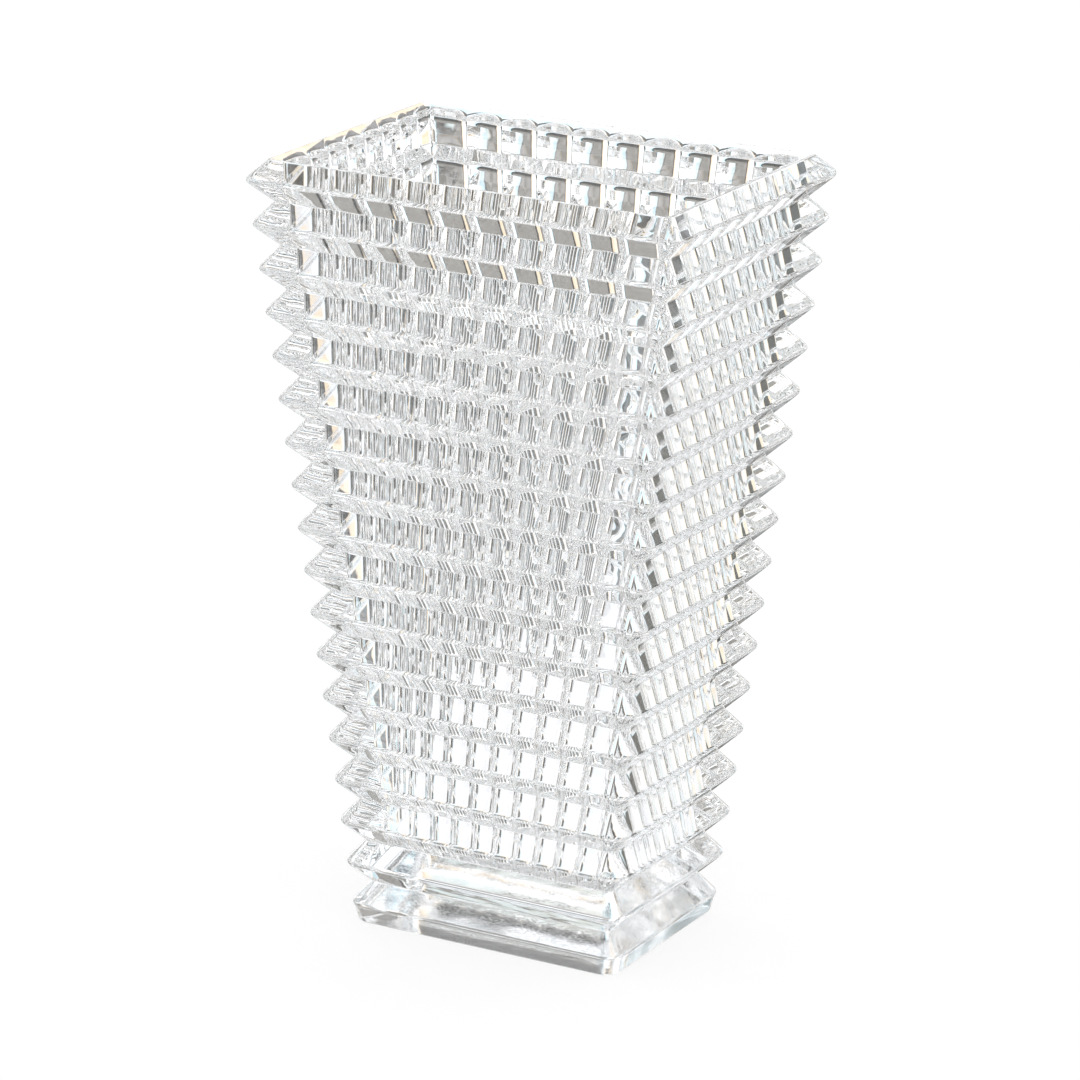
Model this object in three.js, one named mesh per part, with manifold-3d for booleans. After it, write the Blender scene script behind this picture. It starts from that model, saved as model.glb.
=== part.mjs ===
// Cut crystal vase: one block of clear glass, rectangular and tapering to its foot.
// The outside carries level V ridges all the way round, the inside upright flutes,
// and the two together read as a grid of small panes.
// Millimetres, +Z up, X across the wide face, Y through the narrow one,
// base on z = 0, centred on the vase's own axis.
import * as THREE from "three";
import Module from "manifold-3d";

const wasm = await Module();
wasm.setup();

// Driving sizes
const HEIGHT = 240;
const RIDGE_COUNT = 18; // rim ridge, sixteen between, foot ridge
const RIM_RISE = 6.0; // rim ridge tip up to the top edge
const FOOT_DROP = 5.8; // foot ridge tip down to the base
const TOP_WIDTH = 145; // tip to tip at the rim ridge
const TOP_DEPTH = 102.6;
const FOOT_WIDTH = 94; // tip to tip at the foot ridge
const FOOT_DEPTH = 70.2;
const RIDGE_DEPTH = 5.8; // valley in from the tips
const TIP_RADIUS = 1.4; // rounding of each ridge tip
const TIP_STEPS = 2;
const BASE_INSET = 1.4; // base edge in from the foot ridge
const RIM_CORNER = 2.8; // plan radius of the tips at the rim
const FOOT_CORNER = 6.0; // plan radius of the tips at the foot
const VALLEY_CORNER = 0.45; // valley radius over tip radius
const CORNER_STEPS = 5;
const FLOOR_Z = 21; // top of the solid base
const WALL_AT_TOP = 3.3; // valley line to the hollow of a flute
const WALL_AT_FLOOR = 6.8;
const FLUTES_ACROSS = 10;
const FLUTES_THROUGH = 8;
const END_PANEL = 1.12; // flat-sided end panel over a flute's width
const FLUTE_DEPTH = 0.2; // hollow of a flute over its width
const FLUTE_STEPS = 8;
const CUSP_EASE = 0.14; // share of a flute's depth lost to the eased cusp
const CAVITY_CORNER = 1.8;
const CORNER_FACETS = 3;
const FLOOR_FILLET = 1.5;
const RIM_SLOPE = 0.3; // fall of the rim face towards the mouth
const RIM_LAND = 0.4; // level land along the top edge

const pitch = (HEIGHT - RIM_RISE - FOOT_DROP) / (RIDGE_COUNT - 1);
const rimTipZ = HEIGHT - RIM_RISE;

// How far up the ridge stack a height is: 0 at the foot tip, 1 at the rim tip.
const share = (z) => (z - FOOT_DROP) / (rimTipZ - FOOT_DROP);
const mix = (a, b, t) => a + (b - a) * t;

// Half width and half depth of the tapering envelope that the tips touch.
function envelope(z) {
  const t = share(z);
  return [
    mix(FOOT_WIDTH, TOP_WIDTH, t) / 2,
    mix(FOOT_DEPTH, TOP_DEPTH, t) / 2,
    mix(FOOT_CORNER, RIM_CORNER, t),
  ];
}

// Plan outline of a rectangle with rounded corners, anticlockwise from above.
function roundedOutline(halfX, halfY, radius) {
  const points = [];
  const corners = [[1, 1, 0], [-1, 1, 1], [-1, -1, 2], [1, -1, 3]];
  for (const [sx, sy, quarter] of corners) {
    for (let i = 0; i <= CORNER_STEPS; i++) {
      const a = (quarter + i / CORNER_STEPS) * Math.PI / 2;
      points.push([
        sx * (halfX - radius) + radius * Math.cos(a),
        sy * (halfY - radius) + radius * Math.sin(a),
      ]);
    }
  }
  return points;
}

// Closed body through level rings that all hold the same number of points.
function loft(rings) {
  const n = rings[0].points.length;
  const positions = [];
  const index = [];
  for (const ring of rings) {
    for (const [x, y] of ring.points) positions.push(x, y, ring.z);
  }
  for (let r = 0; r + 1 < rings.length; r++) {
    for (let i = 0; i < n; i++) {
      const a = r * n + i;
      const b = r * n + (i + 1) % n;
      index.push(a, b, b + n);
      index.push(a, b + n, a + n);
    }
  }
  capEnds(rings, positions, index);
  return solid(positions, index);
}

function capEnds(rings, positions, index) {
  const n = rings[0].points.length;
  const last = (rings.length - 1) * n;
  const low = rings[0].points.map(([x, y]) => new THREE.Vector2(x, y));
  const high = rings[rings.length - 1].points.map(([x, y]) => new THREE.Vector2(x, y));
  for (const [a, b, c] of THREE.ShapeUtils.triangulateShape(low, [])) {
    index.push(a, c, b);
  }
  for (const [a, b, c] of THREE.ShapeUtils.triangulateShape(high, [])) {
    index.push(last + a, last + b, last + c);
  }
}

function solid(positions, index) {
  return new wasm.Manifold(new wasm.Mesh({
    numProp: 3,
    vertProperties: new Float32Array(positions),
    triVerts: new Uint32Array(index),
  }));
}

// A level ring of the outside, set in from the envelope.
function outerRing(z, inset, cornerShare) {
  const [halfX, halfY, radius] = envelope(z);
  return { z, points: roundedOutline(halfX - inset, halfY - inset, radius * cornerShare) };
}

// How far round the tip's arc the flat sides of a ridge meet it, as an angle from level.
function tipReach() {
  const rise = pitch / 2;
  const run = RIDGE_DEPTH - TIP_RADIUS;
  return Math.PI - Math.atan2(rise, run) - Math.acos(TIP_RADIUS / Math.hypot(rise, run));
}

// The rounded tip of one ridge.
function tipRings(z) {
  const rings = [];
  for (let i = 0; i <= TIP_STEPS; i++) {
    const a = mix(-tipReach(), tipReach(), i / TIP_STEPS);
    rings.push(outerRing(z + TIP_RADIUS * Math.sin(a), TIP_RADIUS * (1 - Math.cos(a)), 1));
  }
  return rings;
}

// Outside, base to top edge: a ridge tip, then the valley above it.
function outside() {
  const [halfX, halfY, radius] = envelope(FOOT_DROP);
  const base = roundedOutline(halfX - BASE_INSET, halfY - BASE_INSET, radius - BASE_INSET * 0.5);
  const rings = [{ z: 0, points: base }];
  for (let k = 0; k < RIDGE_COUNT; k++) {
    const tipZ = FOOT_DROP + k * pitch;
    rings.push(...tipRings(tipZ));
    if (k + 1 < RIDGE_COUNT) {
      rings.push(outerRing(tipZ + pitch / 2, RIDGE_DEPTH, VALLEY_CORNER));
    }
  }
  rings.push(outerRing(HEIGHT, RIDGE_DEPTH, VALLEY_CORNER));
  return loft(rings);
}

// Hollow of a flute from cusp to cusp: a circular arc, its cusps eased.
function hollow(phase) {
  const radius = (0.25 + FLUTE_DEPTH ** 2) / (2 * FLUTE_DEPTH);
  const across = phase - 0.5;
  const rise = Math.sqrt(radius ** 2 - across ** 2) - (radius - FLUTE_DEPTH);
  return Math.max(rise / FLUTE_DEPTH, CUSP_EASE);
}

// One side of the cavity outline: whole flutes between two half flutes, which run out
// as flat panels to the corners.
function flutedSide(from, to, outward, count) {
  const points = [];
  const length = from.distanceTo(to);
  const width = length / (count - 2 + 2 * END_PANEL);
  const place = (along, reach) => {
    const p = from.clone().lerp(to, along / length).addScaledVector(outward, reach);
    points.push([p.x, p.y]);
  };
  place(CAVITY_CORNER, 0);
  for (let i = 0; i <= (count - 1) * FLUTE_STEPS; i++) {
    const along = (END_PANEL - 0.5 + i / FLUTE_STEPS) * width;
    const phase = (i / FLUTE_STEPS + 0.5) % 1;
    place(along, width * FLUTE_DEPTH * (hollow(phase) - 1));
  }
  place(length - CAVITY_CORNER, 0);
  return points;
}

// The facets between two sides, round one corner of the cavity.
function cornerFacets(x, y, quarter) {
  const points = [];
  const cx = x - Math.sign(x) * CAVITY_CORNER;
  const cy = y - Math.sign(y) * CAVITY_CORNER;
  for (let i = 1; i < CORNER_FACETS; i++) {
    const a = (quarter + i / CORNER_FACETS) * Math.PI / 2;
    points.push([cx + CAVITY_CORNER * Math.cos(a), cy + CAVITY_CORNER * Math.sin(a)]);
  }
  return points;
}

// Plan outline of the cavity; half sizes reach to the hollows of the flutes.
function cavityOutline(hx, hy) {
  const v = (x, y) => new THREE.Vector2(x, y);
  return [
    ...flutedSide(v(hx, -hy), v(hx, hy), v(1, 0), FLUTES_THROUGH),
    ...cornerFacets(hx, hy, 0),
    ...flutedSide(v(hx, hy), v(-hx, hy), v(0, 1), FLUTES_ACROSS),
    ...cornerFacets(-hx, hy, 1),
    ...flutedSide(v(-hx, hy), v(-hx, -hy), v(-1, 0), FLUTES_THROUGH),
    ...cornerFacets(-hx, -hy, 2),
    ...flutedSide(v(-hx, -hy), v(hx, -hy), v(0, -1), FLUTES_ACROSS),
    ...cornerFacets(hx, -hy, 3),
  ];
}

// Half sizes of the cavity at a height, to the hollows of the flutes.
function cavityHalves(z) {
  const floor = envelope(FLOOR_Z);
  const top = envelope(HEIGHT);
  const t = (z - FLOOR_Z) / (HEIGHT - FLOOR_Z);
  return [0, 1].map((axis) => mix(
    floor[axis] - RIDGE_DEPTH - WALL_AT_FLOOR,
    top[axis] - RIDGE_DEPTH - WALL_AT_TOP,
    t,
  ));
}

// A level ring of the cavity, drawn in from its full size.
function cavityRing(z, inset) {
  const [halfX, halfY] = cavityHalves(z);
  return { z, points: cavityOutline(halfX - inset, halfY - inset) };
}

// The fluted hollow, run on past the top edge so that it cuts the mouth open.
function cavity() {
  return loft([
    cavityRing(FLOOR_Z, FLOOR_FILLET),
    cavityRing(FLOOR_Z + 0.3 * FLOOR_FILLET, 0.3 * FLOOR_FILLET),
    cavityRing(FLOOR_Z + FLOOR_FILLET, 0),
    cavityRing(HEIGHT + 3, 0),
  ]);
}

// The shallow dish that slopes the rim face down towards the mouth.
function rimDish() {
  const [halfX, halfY, radius] = envelope(HEIGHT);
  const corner = radius * VALLEY_CORNER;
  const reach = 25;
  const ring = (inset, z) => ({
    z,
    points: roundedOutline(
      halfX - RIDGE_DEPTH - RIM_LAND - inset,
      halfY - RIDGE_DEPTH - RIM_LAND - inset,
      corner,
    ),
  });
  return loft([ring(reach, HEIGHT - reach * RIM_SLOPE), ring(-5, HEIGHT + 5 * RIM_SLOPE)]);
}

function meshOf(body, name, material) {
  const data = body.getMesh();
  const positions = new Float32Array(data.numVert * 3);
  for (let i = 0; i < data.numVert; i++) {
    positions.set(data.vertProperties.subarray(i * data.numProp, i * data.numProp + 3), i * 3);
  }
  const geometry = new THREE.BufferGeometry();
  geometry.setAttribute("position", new THREE.BufferAttribute(positions, 3));
  geometry.setIndex(new THREE.BufferAttribute(new Uint32Array(data.triVerts), 1));
  const mesh = new THREE.Mesh(geometry, material);
  mesh.name = name;
  return mesh;
}

// Clear colourless crystal glass.
function glassMaterial() {
  return new THREE.MeshStandardMaterial({
    color: 0xf2f6f5,
    roughness: 0.03,
    metalness: 0,
    transparent: true,
    opacity: 0.35,
  });
}

const body = outside().subtract(cavity()).subtract(rimDish());

const group = new THREE.Group();
group.name = "cut_crystal_vase";
group.add(meshOf(body, "vase_body", glassMaterial()));

export default group;
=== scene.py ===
"""Looks of the cut crystal vase: a finer glass body for the CAD node, a panelled studio, a camera."""
import math
import bpy
import numpy as np
from mathutils import Matrix, Vector

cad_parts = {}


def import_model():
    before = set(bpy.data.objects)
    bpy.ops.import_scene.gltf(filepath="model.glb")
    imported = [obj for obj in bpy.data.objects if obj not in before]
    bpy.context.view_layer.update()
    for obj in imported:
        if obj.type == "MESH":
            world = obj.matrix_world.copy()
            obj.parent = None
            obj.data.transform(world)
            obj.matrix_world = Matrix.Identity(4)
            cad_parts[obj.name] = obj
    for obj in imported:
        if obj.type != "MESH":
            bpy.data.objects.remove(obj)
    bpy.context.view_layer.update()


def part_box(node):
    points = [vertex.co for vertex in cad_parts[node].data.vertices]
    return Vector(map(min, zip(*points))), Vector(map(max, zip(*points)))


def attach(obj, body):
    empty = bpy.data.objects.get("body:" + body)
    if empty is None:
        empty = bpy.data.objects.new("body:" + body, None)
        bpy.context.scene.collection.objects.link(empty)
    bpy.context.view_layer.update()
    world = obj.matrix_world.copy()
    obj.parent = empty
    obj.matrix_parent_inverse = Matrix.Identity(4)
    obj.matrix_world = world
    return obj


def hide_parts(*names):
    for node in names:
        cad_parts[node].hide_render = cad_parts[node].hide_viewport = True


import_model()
_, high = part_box("vase_body")
scene = bpy.context.scene

# ---------------------------------------------------------------- sizes, in metres
# The depth of the flutes and the wall and floor thickness are guesses.
HEIGHT = high.z
RIDGES = 18
RIM_RISE = 0.0060
FOOT_DROP = 0.0058
TOP_X, TOP_Y = 0.145 / 2, 0.1026 / 2
FOOT_X, FOOT_Y = 0.094 / 2, 0.0702 / 2
RIDGE_DEPTH = 0.0058
TIP_RADIUS = 0.0014
VALLEY_RADIUS = 0.0004
BASE_INSET = 0.0014
RIM_CORNER, FOOT_CORNER = 0.0028, 0.0060
VALLEY_CORNER = 0.45
FLOOR_Z = 0.021
FLOOR_FILLET = 0.0015
# The fillet round the floor, as shares of it (in, down).
FILLET_ROUND = ((0.13, 0.5), (0.5, 0.87), (1.0, 1.0))
WALL_TOP, WALL_FLOOR = 0.0033, 0.0068
ACROSS, THROUGH = 10, 8
END_PANEL = 1.12
FLUTE_DEPTH = 0.2
CUSP_EASE = 0.14
CAVITY_CORNER = 0.0018
RIM_SLOPE = 0.3
RIM_LAND = 0.0004
EDGE_EASE = 0.0009
BASE_EDGE = ((0.0, 0.0007), (0.00015, 0.0003), (0.0006, 0.0))
BASE_EDGE_TOP = 0.001
TOP_EDGE = ((0.00035, 0.0003), (0.0001, 0.00004))

# How finely each curve is cut.
CORNER_STEPS = 8
TIP_STEPS = 6
VALLEY_STEPS = 2
SIDE_STEPS = 6
WALL_STEPS = 14
EASE_ANGLES = (90, 67.5, 45, 22.5)
SHARP_ANGLE = 38
# Places across the first half of a flute, closer together towards its cusp.
HALF_FLUTE = (0.0, 0.02, 0.05, 0.09, 0.15, 0.22, 0.31, 0.40)

pitch = (HEIGHT - RIM_RISE - FOOT_DROP) / (RIDGES - 1)
run = RIDGE_DEPTH - TIP_RADIUS
# How far round a tip's arc the flat sides of a ridge meet it, as an angle from level.
reach = math.pi - math.atan2(pitch / 2, run)
reach -= math.acos(TIP_RADIUS / math.hypot(pitch / 2, run))


def mix(a, b, t):
    return a + (b - a) * t


def envelope(z):
    """Half width, half depth and corner radius that the ridge tips touch at a height."""
    t = (z - FOOT_DROP) / (HEIGHT - RIM_RISE - FOOT_DROP)
    return mix(FOOT_X, TOP_X, t), mix(FOOT_Y, TOP_Y, t), mix(FOOT_CORNER, RIM_CORNER, t)


# ---------------------------------------------------------------- outside
def rounded(hx, hy, r):
    """Rounded rectangle, anticlockwise, as (x, y, place); place runs 0 to 4 round the four sides."""
    points = []
    for sx, sy, quarter in ((1, 1, 0), (-1, 1, 1), (-1, -1, 2), (1, -1, 3)):
        cx, cy = sx * (hx - r), sy * (hy - r)
        for i in range(CORNER_STEPS + 1):
            a = (quarter + i / CORNER_STEPS) * math.pi / 2
            place = quarter + 0.5 + (i / CORNER_STEPS - 0.5) * 0.01
            points.append((cx + r * math.cos(a), cy + r * math.sin(a), place))
        nx, ny = ((-1, 1), (-1, -1), (1, -1), (1, 1))[quarter]
        a = (quarter + 1) * math.pi / 2
        here = points[-1]
        there = (nx * (hx - r) + r * math.cos(a), ny * (hy - r) + r * math.sin(a))
        for i in range(1, SIDE_STEPS):
            t = i / SIDE_STEPS
            place = quarter + 0.505 + 0.99 * t
            points.append((mix(here[0], there[0], t), mix(here[1], there[1], t), place))
    return points


def tip(z):
    """A rounded ridge tip as (height, inset from the envelope)."""
    angles = [mix(-reach, reach, i / TIP_STEPS) for i in range(TIP_STEPS + 1)]
    return [(z + TIP_RADIUS * math.sin(a), TIP_RADIUS * (1 - math.cos(a))) for a in angles]


def valley(z):
    """An eased valley as (height, inset from the envelope)."""
    deepest = VALLEY_RADIUS / math.cos(reach)
    angles = [mix(-reach, reach, i / VALLEY_STEPS) for i in range(VALLEY_STEPS + 1)]
    level = RIDGE_DEPTH - deepest
    return [(z + VALLEY_RADIUS * math.sin(a), level + VALLEY_RADIUS * math.cos(a)) for a in angles]


def outer_levels():
    """(height, inset from the envelope) from the base edge to the top edge."""
    levels = [(z, BASE_INSET + more) for z, more in BASE_EDGE]
    levels += tip(FOOT_DROP)
    for k in range(1, RIDGES):
        levels += valley(FOOT_DROP + (k - 0.5) * pitch)
        levels += tip(FOOT_DROP + k * pitch)
    levels += [(HEIGHT - drop, RIDGE_DEPTH - less) for drop, less in TOP_EDGE]
    return levels


def outer_ring(z, inset):
    hx, hy, r = envelope(FOOT_DROP if z < BASE_EDGE_TOP else z)
    share = min(1.0, max(0.0, inset / RIDGE_DEPTH))
    if z < FOOT_DROP:
        return rounded(hx - inset, hy - inset, r - inset * 0.5)
    return rounded(hx - inset, hy - inset, r * mix(1, VALLEY_CORNER, share))


# ---------------------------------------------------------------- cavity
def hollow(phase):
    radius = (0.25 + FLUTE_DEPTH ** 2) / (2 * FLUTE_DEPTH)
    rise = math.sqrt(radius ** 2 - (phase - 0.5) ** 2) - (radius - FLUTE_DEPTH)
    return math.hypot(rise / FLUTE_DEPTH, CUSP_EASE) / math.hypot(1, CUSP_EASE)


def phases():
    low_half = list(HALF_FLUTE)
    return low_half + [0.5] + [1 - p for p in reversed(low_half[1:])]


def fluted_side(start, end, out, count, side):
    """Points of one cavity side, as (x, y, place)."""
    length = math.dist(start, end)
    width = length / (count - 2 + 2 * END_PANEL)
    steps = phases()
    found = [(CAVITY_CORNER, 0.0)]
    found += [((END_PANEL - 1 + p) * width, p) for p in steps if p >= 0.5]
    for i in range(count - 2):
        found += [((END_PANEL + i + p) * width, p) for p in steps]
    found += [((END_PANEL + count - 2 + p) * width, p) for p in steps if p <= 0.5]
    found += [(length - CAVITY_CORNER, 0.0)]
    points = []
    for i, (along, p) in enumerate(found):
        t = along / length
        ends = i in (0, len(found) - 1)
        shift = 0.0 if ends else width * FLUTE_DEPTH * (hollow(p) - 1)
        x = mix(start[0], end[0], t) + out[0] * shift
        y = mix(start[1], end[1], t) + out[1] * shift
        points.append((x, y, side - 0.5 + 0.01 + 0.98 * t))
    return points


def cavity_corner(x, y, quarter):
    cx = x - math.copysign(CAVITY_CORNER, x)
    cy = y - math.copysign(CAVITY_CORNER, y)
    points = []
    for i in range(1, CORNER_STEPS):
        a = (quarter + i / CORNER_STEPS) * math.pi / 2
        place = quarter + 0.5 + (i / CORNER_STEPS - 0.5) * 0.01
        x = cx + CAVITY_CORNER * math.cos(a)
        y = cy + CAVITY_CORNER * math.sin(a)
        points.append((x, y, place))
    return points


def cavity_outline(hx, hy):
    corners = [(hx, -hy), (hx, hy), (-hx, hy), (-hx, -hy)]
    outs = [(1, 0), (0, 1), (-1, 0), (0, -1)]
    points = []
    for k in range(4):
        a, b = corners[k], corners[(k + 1) % 4]
        points += fluted_side(a, b, outs[k], THROUGH if k % 2 == 0 else ACROSS, k)
        points += cavity_corner(b[0], b[1], k)
    return points


def cavity_halves(z):
    floor, top = envelope(FLOOR_Z), envelope(HEIGHT)
    t = (z - FLOOR_Z) / (HEIGHT - FLOOR_Z)
    low = [floor[i] - RIDGE_DEPTH - WALL_FLOOR for i in (0, 1)]
    head = [top[i] - RIDGE_DEPTH - WALL_TOP for i in (0, 1)]
    return [mix(a, b, t) for a, b in zip(low, head)]


def rim_height(x, y):
    hx, hy, _ = envelope(HEIGHT)
    inset = min(hx - RIDGE_DEPTH - abs(x), hy - RIDGE_DEPTH - abs(y))
    return HEIGHT - RIM_SLOPE * (inset - RIM_LAND)


def cavity_columns():
    """Each outline point as a line: ((x, y) at the floor, (x, y) at the rim, rim height, place)."""
    foot = cavity_outline(*cavity_halves(FLOOR_Z))
    head = cavity_outline(*cavity_halves(HEIGHT))
    columns = []
    for (ax, ay, place), (bx, by, _) in zip(foot, head):
        z = HEIGHT
        for _ in range(6):
            t = (z - FLOOR_Z) / (HEIGHT - FLOOR_Z)
            z = rim_height(mix(ax, bx, t), mix(ay, by, t))
        columns.append(((ax, ay), (bx, by), z, place))
    return columns


def outward(points):
    """Unit normals of a closed plan outline, pointing away from the cavity."""
    co = np.array([p[:2] for p in points])
    along = np.roll(co, -1, 0) - np.roll(co, 1, 0)
    n = np.stack([along[:, 1], -along[:, 0]], 1)
    return n / np.linalg.norm(n, axis=1)[:, None]


# ---------------------------------------------------------------- mesh
class Surface:
    def __init__(self):
        self.verts, self.faces = [], []

    def ring(self, points):
        start = len(self.verts)
        self.verts += [tuple(p) for p in points]
        return list(range(start, len(self.verts)))

    def strip(self, a, b):
        n = len(a)
        for i in range(n):
            j = (i + 1) % n
            self.faces.append((a[i], a[j], b[j], b[i]))

    def zipper(self, a, a_place, b, b_place):
        """Triangles between two rings of different counts, a outside b, matched by place."""
        i = j = 0
        n, m = len(a), len(b)
        while i < n or j < m:
            next_a = a_place[(i + 1) % n] + (4 if i + 1 >= n else 0)
            next_b = b_place[(j + 1) % m] + (4 if j + 1 >= m else 0)
            if j >= m or (i < n and next_a <= next_b):
                self.faces.append((a[i % n], a[(i + 1) % n], b[j % m]))
                i += 1
            else:
                self.faces.append((a[i % n], b[(j + 1) % m], b[j % m]))
                j += 1

    def build(self, name):
        mesh = bpy.data.meshes.new(name)
        mesh.from_pydata(self.verts, [], self.faces)
        mesh.validate()
        mesh.update()
        obj = bpy.data.objects.new(name, mesh)
        scene.collection.objects.link(obj)
        return obj


def vase_mesh():
    s = Surface()
    rings = []
    for z, inset in outer_levels():
        points = outer_ring(z, inset)
        rings.append(s.ring([(x, y, z) for x, y, _ in points]))
    s.faces.append(tuple(reversed(rings[0])))
    for a, b in zip(rings, rings[1:]):
        s.strip(a, b)
    hx, hy, r = envelope(HEIGHT)
    land = rounded(hx - RIDGE_DEPTH - RIM_LAND, hy - RIDGE_DEPTH - RIM_LAND, r * VALLEY_CORNER)
    edge = s.ring([(x, y, HEIGHT) for x, y, _ in land])
    s.strip(rings[-1], edge)

    columns = cavity_columns()
    places = [c[3] for c in columns]
    tops = [c[2] for c in columns]

    def at(c, z):
        t = (z - FLOOR_Z) / (HEIGHT - FLOOR_Z)
        return mix(c[0][0], c[1][0], t), mix(c[0][1], c[1][1], t)

    rim = [at(c, z) for c, z in zip(columns, tops)]
    normals = outward(rim)
    rounds = []
    for angle in EASE_ANGLES:
        back = EDGE_EASE * (1 - math.cos(math.radians(angle)))
        down = EDGE_EASE * (1 - math.sin(math.radians(angle)))
        ring = [(x + n[0] * back, y + n[1] * back) for (x, y), n in zip(rim, normals)]
        rounds.append(s.ring([(x, y, rim_height(x, y) - down) for x, y in ring]))
    face_ring = rounds[0]

    order = sorted(range(len(land)), key=lambda i: land[i][2] % 4)
    edge_sorted = [edge[i] for i in order]
    edge_place = [land[i][2] % 4 for i in order]
    order = sorted(range(len(places)), key=lambda i: places[i] % 4)
    face_sorted = [face_ring[i] for i in order]
    face_place = [places[i] % 4 for i in order]
    s.zipper(edge_sorted, edge_place, face_sorted, face_place)

    for a, b in zip(rounds, rounds[1:]):
        s.strip(a, b)
    last = rounds[-1]
    for k in range(WALL_STEPS + 1):
        share = 1 - k / WALL_STEPS
        ring = []
        for c, top in zip(columns, tops):
            z = mix(FLOOR_Z + FLOOR_FILLET, top - EDGE_EASE, share)
            x, y = at(c, z)
            ring.append((x, y, z))
        ring = s.ring(ring)
        s.strip(last, ring)
        last = ring
    foot = [at(c, FLOOR_Z + FLOOR_FILLET) for c in columns]
    scale = [1 - FLOOR_FILLET / h for h in cavity_halves(FLOOR_Z)]
    for share, drop in FILLET_ROUND:
        sx, sy = (mix(1, side, share) for side in scale)
        z = FLOOR_Z + FLOOR_FILLET * (1 - drop)
        ring = s.ring([(x * sx, y * sy, z) for x, y in foot])
        s.strip(last, ring)
        last = ring
    s.faces.append(tuple(last))
    return s.build("vase_glass")


vase = vase_mesh()
mesh = vase.data
mesh.polygons.foreach_set("use_smooth", [True] * len(mesh.polygons))
mesh.set_sharp_from_angle(angle=math.radians(SHARP_ANGLE))
weighted = vase.modifiers.new("even_normals", "WEIGHTED_NORMAL")
weighted.mode = "FACE_AREA"
weighted.weight = 60
weighted.keep_sharp = True


# ---------------------------------------------------------------- shader arithmetic
class Nodes:
    """A short way to write shader arithmetic."""
    def __init__(self, tree):
        self.tree = tree

    def add(self, kind, values, output=0, **settings):
        node = self.tree.nodes.new("ShaderNode" + kind)
        for key, value in settings.items():
            setattr(node, key, value)
        for key, value in values.items():
            if isinstance(value, bpy.types.NodeSocket):
                self.tree.links.new(value, node.inputs[key])
            else:
                node.inputs[key].default_value = value
        return node.outputs[output]

    def math(self, operation, a, b=0.0):
        return self.add("Math", {0: a, 1: b}, operation=operation)

    def blend(self, share, a, b):
        return self.add("Mix", {0: share, 6: a, 7: b}, 2, data_type="RGBA")

    def step(self, value, start, end, low=0.0, high=1.0):
        values = {"Value": value, "From Min": start, "From Max": end, "To Min": low, "To Max": high}
        return self.add("MapRange", values, interpolation_type="SMOOTHSTEP")


# ---------------------------------------------------------------- glass
IOR = 1.54
TINT = (0.74, 0.83, 0.88, 1)
TINT_DENSITY = 1.2
WAVE_SCALE = 75.0
WAVE_STRENGTH = 0.3
WAVE_HEIGHT = 0.0006
SCUFF_SCALE = 900.0
SCUFF_ROUGHNESS = (0.05, 0.18)
WORN_HEIGHT = 0.0008


def wavy_normal(n, where):
    """The faint waviness of fire-polished glass."""
    noise = {"Vector": where, "Scale": WAVE_SCALE, "Detail": 1.5, "Roughness": 0.4}
    waves = n.add("TexNoise", noise, 0)
    return n.add("Bump", {"Strength": WAVE_STRENGTH, "Distance": WAVE_HEIGHT, "Height": waves})


def worn_foot(n, where):
    """Roughness: polished everywhere but the underside and its edge, which are scuffed."""
    height = n.add("SeparateXYZ", {0: where}, 2)
    scuffs = n.add("TexNoise", {"Vector": where, "Scale": SCUFF_SCALE, "Detail": 4.0}, 0)
    foot = n.step(height, 0.0, WORN_HEIGHT, 1.0, 0.0)
    return n.math("MULTIPLY", foot, n.step(scuffs, 0.35, 0.65, *SCUFF_ROUGHNESS))


def crystal():
    """Clear glass with a slight tint in its depth."""
    m = bpy.data.materials.new("crystal")
    m.use_nodes = True
    nt = m.node_tree
    n = Nodes(nt)
    where = n.add("TexCoord", {}, "Object")
    wavy = wavy_normal(n, where)
    worn = worn_foot(n, where)
    shader = nt.nodes["Principled BSDF"]
    out = nt.nodes["Material Output"]
    shader.inputs["Base Color"].default_value = (1, 1, 1, 1)
    nt.links.new(worn, shader.inputs["Roughness"])
    nt.links.new(wavy, shader.inputs["Normal"])
    shader.inputs["IOR"].default_value = IOR
    shader.inputs["Transmission Weight"].default_value = 1.0
    absorb = nt.nodes.new("ShaderNodeVolumeAbsorption")
    absorb.inputs["Color"].default_value = TINT
    absorb.inputs["Density"].default_value = TINT_DENSITY
    nt.links.new(absorb.outputs["Volume"], out.inputs["Volume"])
    return m


vase.data.materials.append(crystal())
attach(vase, "root")
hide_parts("vase_body")


# ---------------------------------------------------------------- studio
# Clear glass shows its surroundings. This is a white world with upright grey panels all round, each
# with a thin dark frame and a faintly tinted fringe. One stands nearly opposite the camera.
COLUMNS = 7
COLUMN_AT = -152 / 360 * COLUMNS
ROW = math.radians(90)
ROW_AT = math.radians(-5)
# Each size is a half width and half height, as shares of a column and of a row, then the soft edge.
PANE = (0.28, 0.01), (0.28, 0.01)
FRAME = (0.31, 0.006), (0.286, 0.006)
FRINGE = (0.37, 0.04), (0.34, 0.03)
# Keeps the counts of columns and rows above 0, with a half at the middle of a panel.
MIDDLE = 20.5
WHITE = (1.58, 1.57, 1.60, 1)
GROUND = (1.05, 1.06, 1.09, 1)
PANE_HIGH = (0.36, 0.345, 0.32, 1)
PANE_LOW = (0.10, 0.10, 0.095, 1)
DARK = (0.02, 0.02, 0.02, 1)
AMBER = (1.15, 0.95, 0.70, 1)
TEAL = (0.75, 1.00, 1.10, 1)
FLOOR_SIZE = 30
FLOOR_GLOW = 0.8
FLOOR_MATT = (0.2, 0.2, 0.2, 1)


def band(n, value, half, soft):
    """1 near the middle of each unit of value, falling to 0 where it is half away from it."""
    away = n.math("ABSOLUTE", n.math("SUBTRACT", n.math("FRACT", value), 0.5))
    return n.step(away, half - soft, half + soft, 1.0, 0.0)


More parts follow.
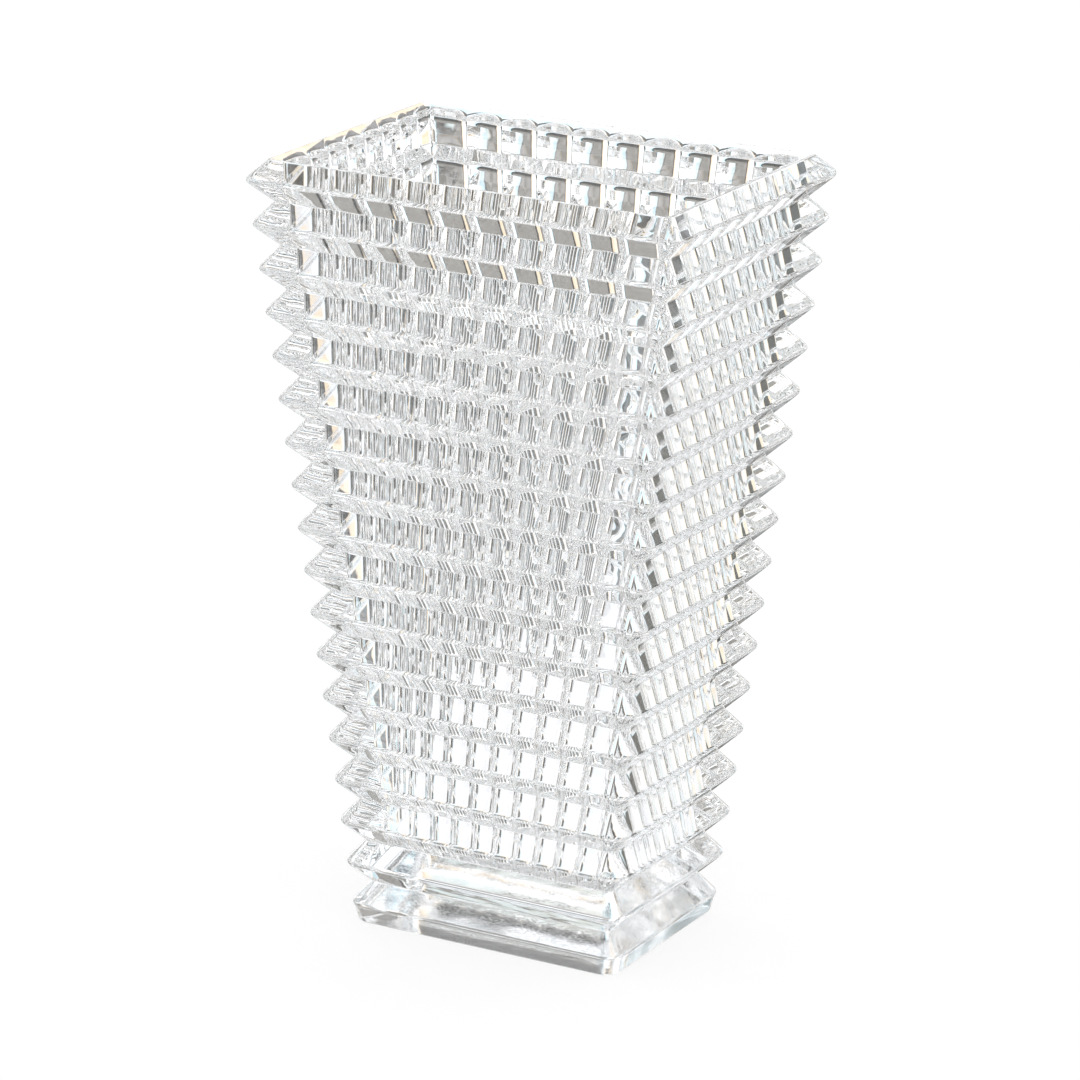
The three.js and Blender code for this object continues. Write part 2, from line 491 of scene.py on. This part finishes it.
def panel(n, column, row, size):
    """1 inside every panel of a size, 0 outside."""
    across, up = size
    return n.math("MULTIPLY", band(n, column, *across), band(n, row, *up))


def world():
    w = bpy.data.worlds.new("studio")
    scene.world = w
    w.use_nodes = True
    n = Nodes(w.node_tree)
    way = n.add("TexCoord", {}, "Generated")
    x, y, z = (n.add("SeparateXYZ", {0: way}, i) for i in range(3))
    bearing = n.math("ARCTAN2", x, n.math("MULTIPLY", y, -1.0))
    turned = n.math("MULTIPLY", bearing, COLUMNS / math.tau)
    column = n.math("ADD", turned, MIDDLE - COLUMN_AT)
    rise = n.math("ARCSINE", z)
    above = n.math("MULTIPLY", n.math("SUBTRACT", rise, ROW_AT), 1 / ROW)
    row = n.math("ADD", above, MIDDLE - 10)
    pane = panel(n, column, row, PANE)
    frame_ = panel(n, column, row, FRAME)
    fringe = panel(n, column, row, FRINGE)
    tint = n.blend(n.step(n.math("FRACT", column), 0.3, 0.7), AMBER, TEAL)
    tone = n.blend(n.step(rise, math.radians(-12), math.radians(4)), PANE_LOW, PANE_HIGH)
    ground = n.blend(n.step(rise, math.radians(-20), math.radians(-4)), GROUND, WHITE)
    colour = n.blend(fringe, ground, tint)
    colour = n.blend(frame_, colour, DARK)
    colour = n.blend(pane, colour, tone)
    # The camera itself sees a plain white background.
    seen = n.add("LightPath", {}, "Is Camera Ray")
    colour = n.blend(seen, colour, (1, 1, 1, 1))
    back = w.node_tree.nodes["Background"]
    w.node_tree.links.new(colour, back.inputs["Color"])


def floor():
    """A pale floor for the camera. The glass sees through it to the lower half of the world."""
    bpy.ops.mesh.primitive_plane_add(size=FLOOR_SIZE, location=(0, 0, 0))
    plane = bpy.context.object
    plane.name = "studio_floor"
    m = bpy.data.materials.new("studio_floor")
    m.use_nodes = True
    nt = m.node_tree
    nt.nodes.clear()
    n = Nodes(nt)
    glow = n.add("Emission", {"Color": (1, 1, 1, 1), "Strength": FLOOR_GLOW})
    matt = n.add("BsdfDiffuse", {"Color": FLOOR_MATT})
    seen = n.add("LightPath", {}, "Is Camera Ray")
    table = n.add("AddShader", {0: glow, 1: matt})
    open_ = n.add("BsdfTransparent", {})
    mixed = n.add("MixShader", {0: seen, 1: open_, 2: table})
    out = nt.nodes.new("ShaderNodeOutputMaterial")
    nt.links.new(mixed, out.inputs["Surface"])
    plane.data.materials.append(m)


floor()
world()


# ---------------------------------------------------------------- camera
AZIMUTH, ELEVATION = math.radians(29.30), math.radians(17.66)
DISTANCE = 1.5678
AIM = Vector((0, 0, 0.1199))
PAN, TILT, ROLL = math.radians(0.012), math.radians(0.045), math.radians(0.626)
LENS = 172.9


def camera():
    data = bpy.data.cameras.new("camera")
    cam = bpy.data.objects.new("camera", data)
    scene.collection.objects.link(cam)
    level = math.cos(ELEVATION)
    away = Vector((level * math.sin(AZIMUTH), -level * math.cos(AZIMUTH), math.sin(ELEVATION)))
    place = AIM + DISTANCE * away
    look = -away
    right = look.cross(Vector((0, 0, 1))).normalized()
    up = right.cross(look)
    look = (look + PAN * right + TILT * up).normalized()
    right = look.cross(Vector((0, 0, 1))).normalized()
    up = right.cross(look)
    side = math.cos(ROLL) * right + math.sin(ROLL) * up
    top = -math.sin(ROLL) * right + math.cos(ROLL) * up
    turn = Matrix((side, top, -look)).transposed().to_4x4()
    cam.matrix_world = Matrix.Translation(place) @ turn
    data.lens = LENS
    data.sensor_width = 36
    data.clip_end = 100
    scene.camera = cam


camera()
scene.view_settings.view_transform = "Standard"
scene.cycles.max_bounces = 24
scene.cycles.transmission_bounces = 24
scene.cycles.glossy_bounces = 12

bpy.context.view_layer.update()
